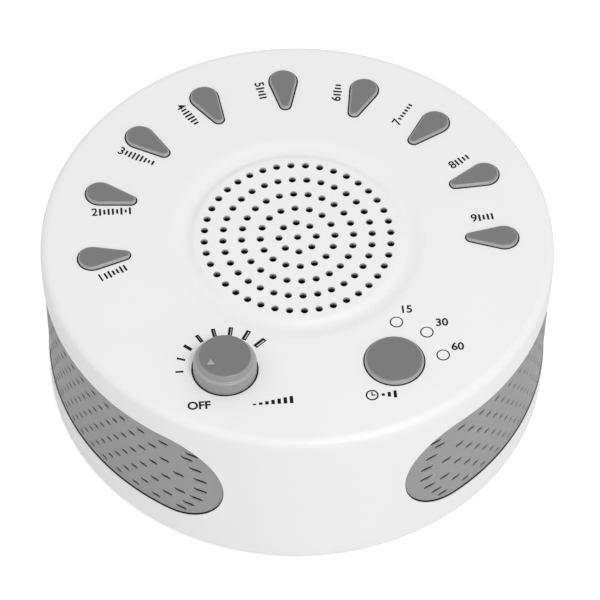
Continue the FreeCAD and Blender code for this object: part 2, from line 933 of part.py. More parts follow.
def cone_rim_z():
    """Give the height of the cone's rim, which is level with the surround's flat edges."""
    return speaker_z - speaker_flange_thickness + surround_thickness


def cone_low_z():
    """Give the height of the cone's narrow end."""
    return cone_rim_z() - cone_depth


def make_voice_coil():
    """Make the tube that carries the coil, from the magnet's gap to the cone."""
    low = basket_z - plate_thickness - cone_travel
    return tube(coil_radius + coil_thickness, coil_radius, low, cone_low_z() + cone_thickness)


def make_speaker_cone():
    """Make the cone as a thin shell."""
    low = cone_low_z()
    high = cone_rim_z()
    inner = coil_radius + coil_thickness
    return spin_points([
        (inner, low),
        (inner + cone_thickness, low),
        (cone_radius, high - cone_thickness),
        (cone_radius, high),
        (cone_radius - cone_thickness, high),
        (inner, low + cone_thickness),
    ])


def make_speaker_dust_cap():
    """Make the dome that closes the middle of the cone."""
    low = cone_low_z() + cone_thickness
    reach = coil_radius + coil_thickness
    radius = (reach ** 2 + dust_cap_height ** 2) / (2 * dust_cap_height)
    centre_z = low + dust_cap_height - radius
    ball = Part.makeSphere(radius, V(0, 0, centre_z))
    hollow = Part.makeSphere(radius - dust_cap_thickness, V(0, 0, centre_z))
    return ball.cut(hollow).common(rod(reach + cut_past, low, low + dust_cap_height + cut_past))


def make_speaker_surround():
    """Make the half roll between the cone's rim and the basket."""
    high = cone_rim_z()
    low = high - surround_thickness
    middle = (cone_radius + speaker_flange_inner) / 2
    edges = [
        line(V(cone_radius, 0, high), V(cone_radius, 0, low)),
        arc(V(cone_radius, 0, low), V(middle, 0, low + surround_height), V(speaker_flange_inner, 0, low)),
        line(V(speaker_flange_inner, 0, low), V(speaker_flange_inner, 0, high)),
        arc(V(speaker_flange_inner, 0, high), V(middle, 0, high + surround_height),
            V(cone_radius, 0, high)),
    ]
    return spin(edges)


def make_speaker_spider():
    """Make the flat spider between the voice coil and the basket floor."""
    low = basket_z + basket_wall + spider_lift
    inner = coil_radius + coil_thickness
    return spin_points([
        (inner, low),
        (spider_radius, low),
        (spider_radius, basket_z + basket_wall),
        (spider_radius + spider_thickness, basket_z + basket_wall),
        (spider_radius + spider_thickness, low + spider_thickness),
        (inner, low + spider_thickness),
    ])


def make_speaker_gasket():
    """Make the foam ring that seals the speaker to the top."""
    outer = speaker_ear_orbit - speaker_boss_radius - gasket_gap
    return tube(outer, gasket_inner_radius, speaker_z, plate_z)


def make_grille_cloth():
    """Make the cloth disc behind the grille's holes."""
    return rod(gasket_inner_radius - cloth_gap, plate_z - cloth_thickness, plate_z)


def make_speaker_screws():
    """Make the screws through the basket's ears."""
    screws = []
    for index in range(speaker_screws_count):
        seat = speaker_z - speaker_flange_thickness
        place = polar(speaker_ear_orbit, speaker_screw_angle(index), seat)
        length = speaker_flange_thickness + speaker_boss_bore - speaker_screw_end_gap
        screws.append(screw(speaker_screw_radius, speaker_screw_head_radius, speaker_screw_head,
                            length, place))
    return Part.makeCompound(screws)


# Bottom cover, battery bay and door


def main_post_places():
    """List the places of the four posts under the main board."""
    x = main_board_width / 2 - main_post_inset
    near = main_board_y + main_post_inset
    far = main_board_y + main_board_length - main_post_inset
    return [(-x, near), (x, near), (-x, far), (x, far)]


def make_bottom_cover():
    """Make the cover disc with the battery bay, posts, recesses and hinge bores."""
    half_width = bay_width / 2
    half_length = bay_length / 2
    disc = rod(cover_radius, base_z, cover_z)
    bay = block(-half_width - bay_wall, half_width + bay_wall, -half_length - bay_wall,
                half_length + bay_wall, base_z, bay_top_z + bay_wall)
    pieces = [disc, bay]
    cuts = [block(-half_width, half_width, -half_length, half_length, base_z - cut_past, bay_top_z)]
    for x, y in main_post_places():
        pieces.append(rod(main_post_radius, base_z, main_board_z, V(x, y, 0)))
        cuts.append(rod(board_screw_radius, main_board_top_z - board_screw_length, main_board_z + cut_past,
                        V(x, y, 0)))
    for angle in post_angles:
        place = polar(post_orbit, angle)
        seat = base_z + housing_screw_recess + housing_screw_head
        cuts.append(rod(housing_screw_radius, base_z - cut_past, cover_z + cut_past, place))
        head_room = housing_screw_head_radius + housing_screw_head_gap
        cuts.append(rod(head_room, base_z - cut_past, seat, place))
    for angle in foot_angles:
        cuts.append(rod(foot_radius, base_z - cut_past, base_z + foot_sink, polar(foot_orbit, angle)))
    reach = half_width + hinge_pin_length + hinge_pin_end_gap
    bore = Part.makeCylinder(hinge_pin_radius + hinge_pin_clearance, 2 * reach,
                             V(-reach, hinge_y, hinge_z), V(1, 0, 0))
    cuts.append(bore)
    return joined(pieces).cut(Part.makeCompound(cuts))


def make_battery_door():
    """Make the door: a plate with a round hinge edge, two hinge pins and a finger notch."""
    half_width = bay_width / 2 - door_gap
    back = bay_length / 2 - door_gap
    plate = block(-half_width, half_width, hinge_y, back, base_z, cover_z)
    edge = Part.makeCylinder(hinge_radius, 2 * half_width, V(-half_width, hinge_y, hinge_z), V(1, 0, 0))
    reach = bay_width / 2 + hinge_pin_length
    pin = Part.makeCylinder(hinge_pin_radius, 2 * reach, V(-reach, hinge_y, hinge_z), V(1, 0, 0))
    notch = rod(finger_notch_radius, base_z - cut_past, base_z + finger_notch_depth, V(0, back, 0))
    return joined([plate, edge, pin]).cut(notch)


def cell_xs():
    """List where the cells lie across the bay."""
    return [cell_pitch * (index - (cell_count - 1) / 2) for index in range(cell_count)]


def cell_axis_z():
    """Give the height of the cells' axes."""
    return cover_z + cell_height_gap + cell_radius


def cell_direction(index):
    """Give the way a cell's positive end points, which alternates along the bay."""
    return 1 if index % 2 == 0 else -1


def lying_rod(radius, x, y_low, y_high):
    """Make a cylinder along Y at the height of the cells' axes."""
    return Part.makeCylinder(radius, y_high - y_low, V(x, y_low, cell_axis_z()), V(0, 1, 0))


def make_battery_cells():
    """Make the four cells, each with its nub against a contact."""
    cells = []
    end = bay_length / 2 - contact_thickness
    for index, x in enumerate(cell_xs()):
        body = lying_rod(cell_radius, x, end - cell_length, end - cell_nub)
        nub = lying_rod(cell_nub_radius, x, end - cell_nub - join_overlap, end)
        cell = joined([body, nub])
        if cell_direction(index) < 0:
            cell.rotate(V(x, 0, 0), UP, 180)
        cells.append(cell)
    return Part.makeCompound(cells)


def make_battery_springs():
    """Make the springs behind the cells' flat ends, each as one hollow coil envelope."""
    springs = []
    end = bay_length / 2 - contact_thickness
    for index, x in enumerate(cell_xs()):
        outer = lying_rod(spring_radius, x, -end, -end + spring_length)
        inner = lying_rod(spring_radius - spring_wire, x, -end - cut_past,
                          -end + spring_length + cut_past)
        spring = outer.cut(inner)
        if cell_direction(index) < 0:
            spring.rotate(V(x, 0, 0), UP, 180)
        springs.append(spring)
    return Part.makeCompound(springs)


def make_battery_contacts():
    """Make the contact plates at both ends of every cell."""
    plates = []
    low = cell_axis_z() - contact_height / 2
    for x in cell_xs():
        for side in (-1, 1):
            outer = side * bay_length / 2
            inner = outer - side * contact_thickness
            plates.append(block(x - contact_width / 2, x + contact_width / 2, min(outer, inner),
                                max(outer, inner), low, low + contact_height))
    return Part.makeCompound(plates)


def make_rubber_feet():
    """Make the four round feet, sunk a little into the cover."""
    feet = []
    for angle in foot_angles:
        foot = rod(foot_radius, 0, base_z + foot_sink, polar(foot_orbit, angle))
        feet.append(round_top(foot, foot_edge_radius, 0))
    return Part.makeCompound(feet)


def make_housing_screws():
    """Make the four screws that hold the cover to the housing's posts."""
    screws = []
    seat = base_z + housing_screw_recess + housing_screw_head
    for angle in post_angles:
        place = polar(post_orbit, angle, seat)
        screws.append(screw(housing_screw_radius, housing_screw_head_radius, housing_screw_head,
                            housing_screw_length, place))
    return Part.makeCompound(screws)


# Main board, power inlet and wires


def make_main_board():
    """Make the board behind the battery bay."""
    half = main_board_width / 2
    board = block(-half, half, main_board_y, main_board_y + main_board_length, main_board_z,
                  main_board_top_z)
    holes = [rod(board_screw_radius, main_board_z - cut_past, main_board_top_z + cut_past, V(x, y, 0))
             for x, y in main_post_places()]
    return board.cut(Part.makeCompound(holes))


def on_board(x, y, width, length, height):
    """Make a box that stands on the main board, placed from the board's near edge."""
    y = main_board_y + y
    return block(x - width / 2, x + width / 2, y - length / 2, y + length / 2, main_board_top_z,
                 main_board_top_z + height)


def make_main_board_chips():
    """Make the sound memory, the controller and the amplifier."""
    return Part.makeCompound([on_board(*chip) for chip in (memory_chip, controller_chip, amplifier_chip)])


def make_main_board_capacitors():
    """Make the two upright capacitors."""
    cans = []
    for x, y, radius, height in (large_capacitor, small_capacitor):
        place = V(x, main_board_y + y, 0)
        cans.append(rod(radius, main_board_top_z, main_board_top_z + height, place))
    return Part.makeCompound(cans)


def make_dc_jack():
    """Make the power inlet: a body on the board, a collar in the wall, a bore and its pin."""
    back = wall_radius(jack_z, wall) - jack_wall_gap
    half = jack_width / 2
    body = block(-half, half, back - jack_length, back, main_board_top_z,
                 main_board_top_z + jack_height)
    front = wall_radius(jack_z, jack_collar_recess)
    along = V(0, 1, 0)
    collar_start = V(0, back - join_overlap, jack_z)
    collar = Part.makeCylinder(jack_collar_radius, front - collar_start.y, collar_start, along)
    bore_end = front - jack_bore_depth
    bore = Part.makeCylinder(jack_bore_radius, jack_bore_depth + cut_past, V(0, bore_end, jack_z), along)
    pin_start = V(0, bore_end - join_overlap, jack_z)
    pin_length = jack_bore_depth - jack_pin_recess + join_overlap
    pin = Part.makeCylinder(jack_pin_radius, pin_length, pin_start, along)
    return joined([joined([body, collar]).cut(bore), pin])


def make_ribbon_cable():
    """Make the ribbon that climbs from the main board to the control board, with its plugs."""
    y = main_board_y + ribbon_inset
    x = ribbon_x
    half = ribbon_width / 2
    strip = block(x - half, x + half, y - ribbon_thickness / 2, y + ribbon_thickness / 2,
                  main_board_top_z, board_z)
    half = ribbon_plug_width / 2
    depth = ribbon_plug_depth / 2
    low_plug = block(x - half, x + half, y - depth, y + depth, main_board_top_z,
                     main_board_top_z + ribbon_plug_height)
    high_plug = block(x - half, x + half, y - depth, y + depth, board_z - ribbon_plug_height, board_z)
    return joined([strip, low_plug, high_plug])


def wire_tube(points):
    """Make a thin wire along points, with a tangent arc at each turn."""
    edges = []
    start = points[0]
    for before, here, after in zip(points, points[1:], points[2:]):
        inward = (before - here).normalize()
        outward = (after - here).normalize()
        cut_back = wire_arc_share * min((before - here).Length, (after - here).Length)
        enter = here + inward * cut_back
        leave = here + outward * cut_back
        half_turn = (math.pi - inward.getAngle(outward)) / 2
        radius = cut_back / math.tan(half_turn)
        centre_way = (inward + outward).normalize()
        centre = here + centre_way * (radius / math.cos(half_turn))
        middle = centre - centre_way * radius
        edges.append(line(start, enter))
        edges.append(arc(enter, middle, leave))
        start = leave
    edges.append(line(start, points[-1]))
    path = Part.Wire(edges)
    circle = Part.Wire(Part.makeCircle(wire_radius, points[0], (points[1] - points[0]).normalize()))
    return path.makePipeShell([circle], True, False)


def make_speaker_wires():
    """Make the two wires from the speaker's terminal down to the main board."""
    wires = []
    y = basket_neck_radius + terminal_offset + terminal_depth / 2
    landing = main_board_y + speaker_wire_inset
    low = main_board_top_z
    high = basket_z + terminal_lift
    for x in (-wire_pair_half, wire_pair_half):
        wires.append(wire_tube([
            V(x, y, high),
            V(x, y, high - wire_drop),
            V(x, (y + landing) / 2 + wire_bow, (high + low) / 2),
            V(x, landing, low + wire_rise),
            V(x, landing, low),
        ]))
    return Part.makeCompound(wires)


def make_battery_wires():
    """Make the two wires from the battery bay's roof to the main board."""
    wires = []
    roof = bay_top_z + bay_wall
    crest = roof + battery_wire_crest
    landing = main_board_y + battery_wire_inset
    for x in (-battery_wire_x, battery_wire_x):
        wires.append(wire_tube([
            V(x, landing - battery_wire_run, roof),
            V(x, landing - battery_wire_run, crest),
            V(x, landing, crest),
            V(x, landing, main_board_top_z),
        ]))
    return Part.makeCompound(wires)


def all_parts():
    """Give every piece by its name."""
    parts = {
        "top_housing": make_top_housing(),
        "grip_right": make_grip_right(),
        "timer_button": make_timer_button(),
        "timer_plunger": make_plunger(timer_centre, timer_travel),
        "timer_switch": make_switch(timer_centre, 0),
        "timer_leds": make_timer_leds(),
        "key_switches": make_key_switches(),
        "volume_knob": make_volume_knob(),
        "volume_pot": make_volume_pot(),
        "volume_pot_shaft": make_volume_pot_shaft(),
        "control_board": make_control_board(),
        "board_screws": make_board_screws(),
        "speaker_basket": make_speaker_basket(),
        "speaker_top_plate": make_speaker_top_plate(),
        "speaker_magnet": make_speaker_magnet(),
        "speaker_yoke": make_speaker_yoke(),
        "voice_coil": make_voice_coil(),
        "speaker_cone": make_speaker_cone(),
        "speaker_dust_cap": make_speaker_dust_cap(),
        "speaker_surround": make_speaker_surround(),
        "speaker_spider": make_speaker_spider(),
        "speaker_gasket": make_speaker_gasket(),
        "speaker_screws": make_speaker_screws(),
        "grille_cloth": make_grille_cloth(),
        "bottom_cover": make_bottom_cover(),
        "battery_door": make_battery_door(),
        "battery_cells": make_battery_cells(),
        "battery_springs": make_battery_springs(),
        "battery_contacts": make_battery_contacts(),
        "rubber_feet": make_rubber_feet(),
        "housing_screws": make_housing_screws(),
        "main_board": make_main_board(),
        "main_board_chips": make_main_board_chips(),
        "main_board_capacitors": make_main_board_capacitors(),
        "dc_jack": make_dc_jack(),
        "ribbon_cable": make_ribbon_cable(),
        "speaker_wires": make_speaker_wires(),
        "battery_wires": make_battery_wires(),
    }
    parts["grip_left"] = turned(parts["grip_right"], 180)
    for name, place in lamp_places().items():
        parts["timer_lamp_" + name] = make_lamp(place)
    for number, angle in enumerate(key_angles, start=1):
        parts["sound_key_" + str(number)] = make_sound_key(angle)
        parts["key_plunger_" + str(number)] = make_plunger(polar(key_switch_orbit, angle), key_travel)
    return parts


os.makedirs("parts", exist_ok=True)
for name, shape in all_parts().items():
    shape.exportStep("parts/" + name + ".step")
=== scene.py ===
import math

import bmesh
import bpy
from mathutils import Matrix, Vector


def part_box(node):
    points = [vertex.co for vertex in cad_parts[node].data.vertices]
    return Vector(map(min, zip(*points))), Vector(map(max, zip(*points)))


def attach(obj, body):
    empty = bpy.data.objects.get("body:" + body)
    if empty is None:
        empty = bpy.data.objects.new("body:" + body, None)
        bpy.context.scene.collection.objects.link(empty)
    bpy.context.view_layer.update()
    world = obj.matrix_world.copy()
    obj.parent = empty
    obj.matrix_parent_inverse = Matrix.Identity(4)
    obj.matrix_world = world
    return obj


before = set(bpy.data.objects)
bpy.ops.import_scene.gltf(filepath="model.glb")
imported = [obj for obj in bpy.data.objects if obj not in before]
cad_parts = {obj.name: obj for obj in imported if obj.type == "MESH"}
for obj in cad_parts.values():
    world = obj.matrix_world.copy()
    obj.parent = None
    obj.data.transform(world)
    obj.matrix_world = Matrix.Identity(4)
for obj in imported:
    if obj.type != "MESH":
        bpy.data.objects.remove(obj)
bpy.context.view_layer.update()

# White noise sound machine. Metres, in the part's own frame: X right, Y back, Z up.

MM = 0.001
scene = bpy.context.scene
top_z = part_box("top_housing")[1].z
base_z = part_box("top_housing")[0].z
body_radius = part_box("top_housing")[1].x
ink_rise = 0.02 * MM

# The wall draws in from the shoulder down to the base, and the grips lie a little inside it
wall_draw = 1.0 * MM
wall_height = 52.5 * MM
wall_taper = wall_draw / wall_height
wall_foot = body_radius - wall_draw
grip_recess = 0.4 * MM

# Parts of the top, by their distance from the drum's axis
grille_reach = 28.9 * MM
controls_start = 38.8 * MM
controls_end = 70.0 * MM

# Heights on the knob above the drum's top: its step, and the face that the pointer stands on
knob_step = 4.35 * MM
knob_face = 6.5 * MM


# Shader helpers


def socket(group, name, way, kind, default=None):
    """Add one named socket to a node group."""
    made = group.interface.new_socket(name, in_out=way, socket_type=kind)
    if default is not None:
        made.default_value = default
    return made


def shader_group(name, inputs, outputs):
    """Start a shader node group with float inputs and given outputs."""
    group = bpy.data.node_groups.new(name, "ShaderNodeTree")
    for label, value in inputs.items():
        socket(group, label, "INPUT", "NodeSocketFloat", value)
    for label, kind in outputs.items():
        socket(group, label, "OUTPUT", kind)
    enter = group.nodes.new("NodeGroupInput")
    leave = group.nodes.new("NodeGroupOutput")
    return group, enter, leave


def add_math(tree, operation, first, second):
    """Add a Math node, whose inputs are sockets or numbers, and give its output."""
    node = tree.nodes.new("ShaderNodeMath")
    node.operation = operation
    for index, value in enumerate((first, second)):
        if isinstance(value, (int, float)):
            node.inputs[index].default_value = value
        else:
            tree.links.new(value, node.inputs[index])
    return node.outputs[0]


def add_noise(tree, vector, scale, detail):
    """Add a noise texture on given coordinates and give its value output."""
    node = tree.nodes.new("ShaderNodeTexNoise")
    node.inputs["Detail"].default_value = detail
    tree.links.new(vector, node.inputs["Vector"])
    if isinstance(scale, (int, float)):
        node.inputs["Scale"].default_value = scale
    else:
        tree.links.new(scale, node.inputs["Scale"])
    return node.outputs["Fac"]


def object_coordinates(tree):
    """Add a Texture Coordinate node and give its Object output."""
    return tree.nodes.new("ShaderNodeTexCoord").outputs["Object"]


def make_grain_group():
    """Fine spark-eroded grain of a moulded surface, with a slow mottling of its shade."""
    group, enter, leave = shader_group(
        "moulded_grain",
        {"Grain Scale": 2600.0, "Mottle Scale": 35.0},
        {"Grain": "NodeSocketFloat", "Mottle": "NodeSocketFloat"},
    )
    place = object_coordinates(group)
    grain = add_noise(group, place, enter.outputs["Grain Scale"], 2.0)
    mottle = add_noise(group, place, enter.outputs["Mottle Scale"], 4.0)
    group.links.new(grain, leave.inputs["Grain"])
    group.links.new(mottle, leave.inputs["Mottle"])
    return group


def make_handling_group():
    """Soft smudges where hands and dust leave a surface duller or shinier."""
    group, enter, leave = shader_group(
        "handling", {"Scale": 60.0, "Low": 0.4, "High": 0.5}, {"Roughness": "NodeSocketFloat"}
    )
    smudge = add_noise(group, object_coordinates(group), enter.outputs["Scale"], 6.0)
    spread = group.nodes.new("ShaderNodeMapRange")
    group.links.new(smudge, spread.inputs["Value"])
    spread.inputs["From Min"].default_value = 0.3
    spread.inputs["From Max"].default_value = 0.7
    group.links.new(enter.outputs["Low"], spread.inputs["To Min"])
    group.links.new(enter.outputs["High"], spread.inputs["To Max"])
    group.links.new(spread.outputs["Result"], leave.inputs["Roughness"])
    return group


grain_group = make_grain_group()
handling_group = make_handling_group()


def place_group(tree, group, values):
    """Put a shader node group in a material with its own values."""
    node = tree.nodes.new("ShaderNodeGroup")
    node.node_tree = group
    for label, value in values.items():
        node.inputs[label].default_value = value
    return node


def mix_colours(tree, factor, first, second):
    """Mix two colours by a factor and give the result."""
    node = tree.nodes.new("ShaderNodeMix")
    node.data_type = "RGBA"
    tree.links.new(factor, node.inputs["Factor"])
    for index, colour in ((6, first), (7, second)):
        if isinstance(colour, tuple):
            node.inputs[index].default_value = (*colour, 1.0)
        else:
            tree.links.new(colour, node.inputs[index])
    return node.outputs[2]


def finish_material(name, dark, light, low, high, grain=2600.0, mottle=35.0, smudge=60.0,
                    bump=0.02, bump_mm=0.02, metallic=0.0):
    """Make a material with mottled colour, varying roughness and a grained surface."""
    material = bpy.data.materials.new(name)
    material.use_nodes = True
    tree = material.node_tree
    shader = tree.nodes["Principled BSDF"]
    shader.inputs["Metallic"].default_value = metallic
    grains = place_group(tree, grain_group, {"Grain Scale": grain, "Mottle Scale": mottle})
    colour = mix_colours(tree, grains.outputs["Mottle"], dark, light)
    tree.links.new(colour, shader.inputs["Base Color"])
    hands = place_group(tree, handling_group, {"Scale": smudge, "Low": low, "High": high})
    tree.links.new(hands.outputs["Roughness"], shader.inputs["Roughness"])
    relief = tree.nodes.new("ShaderNodeBump")
    relief.inputs["Strength"].default_value = bump
    relief.inputs["Distance"].default_value = bump_mm * MM
    tree.links.new(grains.outputs["Grain"], relief.inputs["Height"])
    tree.links.new(relief.outputs["Normal"], shader.inputs["Normal"])
    return material


def set_value(material, label, value):
    """Set one value on a material's own shader."""
    material.node_tree.nodes["Principled BSDF"].inputs[label].default_value = value


def grey(level):
    """Give a linear colour from an sRGB grey level of 0 to 255."""
    value = (level / 255) ** 2.2
    return (value, value, value)


def drum_place(tree):
    """Give the distance from the drum's axis and the height of a point."""
    split = tree.nodes.new("ShaderNodeSeparateXYZ")
    tree.links.new(object_coordinates(tree), split.inputs[0])
    across = add_math(tree, "MULTIPLY", split.outputs["X"], split.outputs["X"])
    along = add_math(tree, "MULTIPLY", split.outputs["Y"], split.outputs["Y"])
    radius = add_math(tree, "SQRT", add_math(tree, "ADD", across, along), 0.0)
    return radius, split.outputs["Z"]


def ramp(tree, value, low, high):
    """Turn a value into a mask that runs from 0 at one limit to 1 at the other."""
    node = tree.nodes.new("ShaderNodeMapRange")
    tree.links.new(value, node.inputs["Value"])
    node.inputs["From Min"].default_value = low
    node.inputs["From Max"].default_value = high
    return node.outputs["Result"]


def cover_colour(material, mask, colour):
    """Lay a colour over a material's own colour where a mask is 1."""
    tree = material.node_tree
    base = tree.nodes["Principled BSDF"].inputs["Base Color"]
    mixed = mix_colours(tree, mask, base.links[0].from_socket, colour)
    tree.links.new(mixed, base)


def skin_depth(tree):
    """Give how far a point lies inside the tapered wall, and its height."""
    radius, height = drum_place(tree)
    slope = add_math(tree, "MULTIPLY", add_math(tree, "SUBTRACT", height, base_z), wall_taper)
    depth = add_math(tree, "SUBTRACT", add_math(tree, "ADD", slope, wall_foot), radius)
    return depth, height


def between(tree, value, low, high):
    """Give 1 where a value lies between two limits, and 0 elsewhere."""
    return add_math(tree, "MULTIPLY", add_math(tree, "GREATER_THAN", value, low),
                    add_math(tree, "LESS_THAN", value, high))


def paint_grip_rim_highlight_and_slit_shade(material):
    """Paint a highlight on a grip's round rim and the lips of its slits, and paint shade inside the
    slits.
    """
    tree = material.node_tree
    depth = skin_depth(tree)[0]
    # Painted highlight on the rim and the slits' lips
    rim = ramp(tree, depth, grip_recess + 0.08 * MM, grip_recess + 0.15 * MM)
    cover_colour(material, rim, grey(178))
    # Painted shade inside the slits
    inside = ramp(tree, depth, grip_recess + 0.2 * MM, grip_recess + 0.42 * MM)
    cover_colour(material, inside, grey(34))


def paint_pocket_shade(material):
    """Paint shade into the grille's holes, the gaps round the controls and the grips' pockets: the
    shell turns near black with depth below its surface.
    """
    tree = material.node_tree
    radius, height = drum_place(tree)
    depth = add_math(tree, "SUBTRACT", top_z, height)
    grille = add_math(tree, "LESS_THAN", radius, grille_reach)
    holes = add_math(tree, "MULTIPLY", grille, ramp(tree, depth, 0.05 * MM, 1.3 * MM))
    controls = between(tree, radius, controls_start, controls_end)
    gaps = add_math(tree, "MULTIPLY", controls, ramp(tree, depth, 0.02 * MM, 0.3 * MM))
    inset, height = skin_depth(tree)
    wall = between(tree, height, base_z + 2 * MM, top_z - 5 * MM)
    pockets = add_math(tree, "MULTIPLY", wall, ramp(tree, inset, 0.12 * MM, 0.3 * MM))
    # Painted shade, near black, deeper in the holes, gaps and pockets
    shade = add_math(tree, "MAXIMUM", add_math(tree, "ADD", holes, gaps), pockets)
    cover_colour(material, shade, grey(10))


def paint_foot_shade(material):
    """Paint shade on a control below the top's surface, inside the gap round it."""
    tree = material.node_tree
    height = drum_place(tree)[1]
    # Painted shade, near black below the top's surface
    sunk_shade = ramp(tree, height, top_z + 0.15 * MM, top_z - 0.1 * MM)
    cover_colour(material, sunk_shade, grey(14))


def paint_crease_highlight_and_pointer(material):
    """Paint a highlight in the crease round the knob's step, and give the knob's raised pointer a
    lighter grey.
    """
    tree = material.node_tree
    height = drum_place(tree)[1]
    step_z = top_z + knob_step
    face_z = top_z + knob_face
    # Painted highlight: a lighter band in the crease of the step, where shade would gather
    below = ramp(tree, height, step_z - 0.45 * MM, step_z - 0.05 * MM)
    above = ramp(tree, height, step_z + 0.35 * MM, step_z + 0.05 * MM)
    cover_colour(material, add_math(tree, "MULTIPLY", below, above), grey(162))
    pointer = ramp(tree, height, face_z + 0.02 * MM, face_z + 0.1 * MM)
    cover_colour(material, pointer, grey(160))


def paint_edge_highlight(material, colour):
    """Paint a highlight on a control: a lighter colour where its surface turns away from the flat
    top, standing in for the light its rounded edges catch.
    """
    tree = material.node_tree
    split = tree.nodes.new("ShaderNodeSeparateXYZ")
    tree.links.new(tree.nodes.new("ShaderNodeTexCoord").outputs["Normal"], split.inputs[0])
    # Painted highlight, strongest where the normal tilts furthest from straight up
    cover_colour(material, ramp(tree, split.outputs["Z"], 0.99, 0.6), colour)


def weave_bump(material, scale):
    """Add a crossed weave to a material's relief."""
    tree = material.node_tree
    place = object_coordinates(tree)
    heights = []
    for direction in ("X", "Y"):
        wave = tree.nodes.new("ShaderNodeTexWave")
        wave.bands_direction = direction
        wave.inputs["Scale"].default_value = scale
        tree.links.new(place, wave.inputs["Vector"])
        heights.append(wave.outputs["Fac"])
    woven = add_math(tree, "MAXIMUM", heights[0], heights[1])
    relief = [node for node in tree.nodes if node.type == "BUMP"][0]
    tree.links.new(woven, relief.inputs["Height"])


# Materials of this machine

white_shell = finish_material("white_shell", grey(233), grey(237), 0.38, 0.47, bump=0.05)
# Painted shade in the shell's grille holes, control gaps and grip pockets
paint_pocket_shade(white_shell)
white_cover = finish_material("white_cover", grey(229), grey(234), 0.45, 0.55, bump=0.08)
grey_controls = finish_material("grey_controls", grey(109), grey(114), 0.26, 0.36, bump=0.06)
# Painted highlight: the rounded edges of the keys and timer button are coloured lighter
paint_edge_highlight(grey_controls, grey(165))
# Painted shade on the keys and timer button inside the gaps round them
paint_foot_shade(grey_controls)
grey_knob = finish_material("grey_knob", grey(109), grey(114), 0.26, 0.36, bump=0.06)
# Painted highlight: the knob's rounded edges are coloured lighter
paint_edge_highlight(grey_knob, grey(148))
# Painted highlight in the knob's step crease, and a lighter grey on its pointer
paint_crease_highlight_and_pointer(grey_knob)
# Painted shade on the knob inside the gap round it
paint_foot_shade(grey_knob)
grip_rubber = finish_material("grip_rubber", grey(143), grey(151), 0.5, 0.62, bump=0.12)
# Painted highlight on the grips' rims and painted shade inside their slits
paint_grip_rim_highlight_and_slit_shade(grip_rubber)
lamp_lens = finish_material("lamp_lens", grey(232), grey(238), 0.15, 0.22, bump=0.01)
set_value(lamp_lens, "Coat Weight", 0.3)
black_ink = finish_material("black_ink", grey(8), grey(14), 0.6, 0.7, mottle=400.0, bump=0.03)
set_value(black_ink, "Specular IOR Level", 0.15)
pale_ink = finish_material("pale_ink", grey(215), grey(225), 0.45, 0.55, mottle=400.0, bump=0.03)
foot_rubber = finish_material("foot_rubber", grey(52), grey(60), 0.7, 0.85, bump=0.2)
board_green = finish_material("board_green", (0.01, 0.11, 0.03), (0.02, 0.17, 0.05), 0.25, 0.4,
                              mottle=300.0)
black_plastic = finish_material("black_plastic", grey(28), grey(36), 0.4, 0.55, bump=0.1)
bright_steel = finish_material("bright_steel", grey(178), grey(198), 0.22, 0.38, metallic=1.0,
                               mottle=500.0)
ferrite = finish_material("ferrite", grey(58), grey(68), 0.5, 0.65, grain=1500.0, bump=0.2)
basket_paint = finish_material("basket_paint", grey(38), grey(46), 0.35, 0.5, bump=0.1)
foam_black = finish_material("foam_black", grey(40), grey(50), 0.8, 0.95, grain=900.0, bump=0.4,
                             bump_mm=0.1)
cloth_black = finish_material("cloth_black", grey(10), grey(16), 0.9, 1.0, bump=0.5, bump_mm=0.1)
set_value(cloth_black, "Specular IOR Level", 0.05)
weave_bump(cloth_black, 500.0)
spider_weave = finish_material("spider_weave", (0.42, 0.2, 0.06), (0.5, 0.27, 0.1), 0.7, 0.85,
                               bump=0.4, bump_mm=0.1)
weave_bump(spider_weave, 400.0)
cone_paper = finish_material("cone_paper", grey(44), grey(56), 0.75, 0.9, grain=700.0, bump=0.3,
                             bump_mm=0.08)
copper_winding = finish_material("copper_winding", (0.5, 0.2, 0.07), (0.6, 0.27, 0.1), 0.25, 0.4,
                                 metallic=1.0)
capacitor_sleeve = finish_material("capacitor_sleeve", (0.02, 0.03, 0.08), (0.03, 0.04, 0.11), 0.3,
                                   0.4)
ribbon_grey = finish_material("ribbon_grey", grey(170), grey(185), 0.45, 0.6)
wire_red = finish_material("wire_red", (0.35, 0.015, 0.015), (0.42, 0.03, 0.03), 0.4, 0.5)
cell_jacket = finish_material("cell_jacket", grey(60), grey(80), 0.2, 0.35, metallic=0.6)
diode_resin = finish_material("diode_resin", grey(200), grey(215), 0.1, 0.18)

